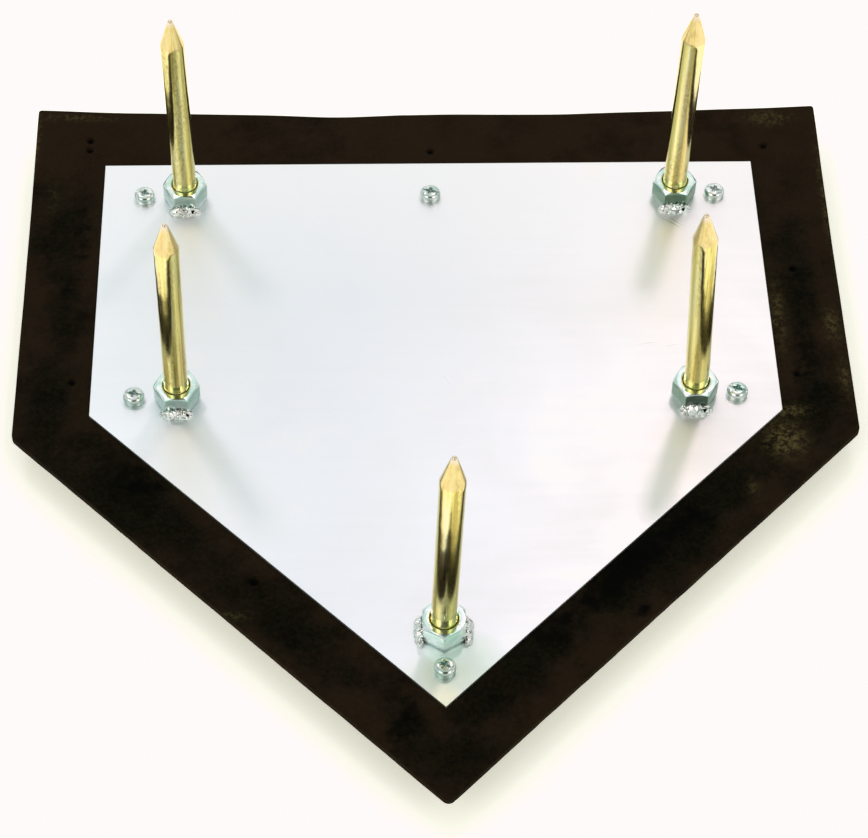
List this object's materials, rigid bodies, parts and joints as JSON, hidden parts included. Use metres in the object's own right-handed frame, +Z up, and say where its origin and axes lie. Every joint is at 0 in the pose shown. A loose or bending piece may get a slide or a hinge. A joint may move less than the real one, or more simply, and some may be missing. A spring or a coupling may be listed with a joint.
{
  "type": "spiked home plate",
  "caption": "Pentagonal rubber home plate lying on its white face, its steel backing plate carrying long pointed ground spikes that screw into welded nuts.",
  "frame": {"origin": "on the white face, under the centre of the plate's bounding box", "axes": "+Z up through the spikes, out of the underside of the plate; -Y towards the plate's point; +X to the right when the point is nearest. In use it is turned over, with +Z into the ground."},
  "size_m": [0.4952, 0.5067, 0.1819],
  "materials": {
    "black_rubber": "matte moulded rubber, brown-black, dusty",
    "white_rubber": "matte white moulded rubber",
    "zinc_sheet": "satin blue-white zinc plating",
    "zinc_nut": "bright blue-white zinc plating",
    "weld_metal": "lumpy zinc-plated weld metal",
    "yellow_zinc": "yellow chromate zinc plating, streaked",
    "zinc_screw": "bright zinc plating",
    "zinc_washer": "bright zinc plating",
    "insert_brass": "plain machined brass"
  },
  "bodies": {
    "plate": {"rubber_base": "black_rubber", "white_face": "white_rubber", "steel_plate": "zinc_sheet", "nut_front_left": "zinc_nut", "nut_front_right": "zinc_nut", "nut_shoulder_left": "zinc_nut", "nut_shoulder_right": "zinc_nut", "nut_point": "zinc_nut", "weld_beads_front_left": "weld_metal", "weld_beads_front_right": "weld_metal", "weld_beads_shoulder_left": "weld_metal", "weld_beads_shoulder_right": "weld_metal", "weld_beads_point": "weld_metal", "screw_front_left": "zinc_screw", "screw_front_middle": "zinc_screw", "screw_front_right": "zinc_screw", "screw_shoulder_left": "zinc_screw", "screw_shoulder_right": "zinc_screw", "screw_point": "zinc_screw", "lock_washer_front_left": "zinc_washer", "lock_washer_front_middle": "zinc_washer", "lock_washer_front_right": "zinc_washer", "lock_washer_shoulder_left": "zinc_washer", "lock_washer_shoulder_right": "zinc_washer", "lock_washer_point": "zinc_washer", "insert_front_left": "insert_brass", "insert_front_middle": "insert_brass", "insert_front_right": "insert_brass", "insert_shoulder_left": "insert_brass", "insert_shoulder_right": "insert_brass", "insert_point": "insert_brass"},
    "thread_front_left": {"spike_thread_front_left": "yellow_zinc"},
    "spike_front_left": {"spike_front_left": "yellow_zinc"},
    "thread_front_right": {"spike_thread_front_right": "yellow_zinc"},
    "spike_front_right": {"spike_front_right": "yellow_zinc"},
    "thread_shoulder_left": {"spike_thread_shoulder_left": "yellow_zinc"},
    "spike_shoulder_left": {"spike_shoulder_left": "yellow_zinc"},
    "thread_shoulder_right": {"spike_thread_shoulder_right": "yellow_zinc"},
    "spike_shoulder_right": {"spike_shoulder_right": "yellow_zinc"},
    "thread_point": {"spike_thread_point": "yellow_zinc"},
    "spike_point": {"spike_point": "yellow_zinc"}
  },
  "joints": [
    {"name": "unscrew_front_left", "type": "hinge", "parent": "thread_front_left", "child": "spike_front_left", "pos_m": [-0.152, 0.1784, 0.0403], "axis": [0, 0, 1], "range_deg": [0, 2160]},
    {"name": "rise_front_left", "type": "slide", "parent": "plate", "child": "thread_front_left", "axis": [0, 0, 1], "range_m": [0, 0.01385]},
    {"name": "unscrew_front_right", "type": "hinge", "parent": "thread_front_right", "child": "spike_front_right", "pos_m": [0.152, 0.1784, 0.0403], "axis": [0, 0, 1], "range_deg": [0, 2160]},
    {"name": "rise_front_right", "type": "slide", "parent": "plate", "child": "thread_front_right", "axis": [0, 0, 1], "range_m": [0, 0.01385]},
    {"name": "unscrew_shoulder_left", "type": "hinge", "parent": "thread_shoulder_left", "child": "spike_shoulder_left", "pos_m": [-0.152, 0.0184, 0.0403], "axis": [0, 0, 1], "range_deg": [0, 2160]},
    {"name": "rise_shoulder_left", "type": "slide", "parent": "plate", "child": "thread_shoulder_left", "axis": [0, 0, 1], "range_m": [0, 0.01385]},
    {"name": "unscrew_shoulder_right", "type": "hinge", "parent": "thread_shoulder_right", "child": "spike_shoulder_right", "pos_m": [0.152, 0.0184, 0.0403], "axis": [0, 0, 1], "range_deg": [0, 2160]},
    {"name": "rise_shoulder_right", "type": "slide", "parent": "plate", "child": "thread_shoulder_right", "axis": [0, 0, 1], "range_m": [0, 0.01385]},
    {"name": "unscrew_point", "type": "hinge", "parent": "thread_point", "child": "spike_point", "pos_m": [0, -0.1479, 0.0403], "axis": [0, 0, 1], "range_deg": [0, 2160]},
    {"name": "rise_point", "type": "slide", "parent": "plate", "child": "thread_point", "axis": [0, 0, 1], "range_m": [0, 0.01385]}
  ],
  "couplings": [
    {"joint": "unscrew_front_left", "follows": "rise_front_left", "rad_per_m": 2721.1},
    {"joint": "unscrew_front_right", "follows": "rise_front_right", "rad_per_m": 2721.1},
    {"joint": "unscrew_shoulder_left", "follows": "rise_shoulder_left", "rad_per_m": 2721.1},
    {"joint": "unscrew_shoulder_right", "follows": "rise_shoulder_right", "rad_per_m": 2721.1},
    {"joint": "unscrew_point", "follows": "rise_point", "rad_per_m": 2721.1}
  ]
}
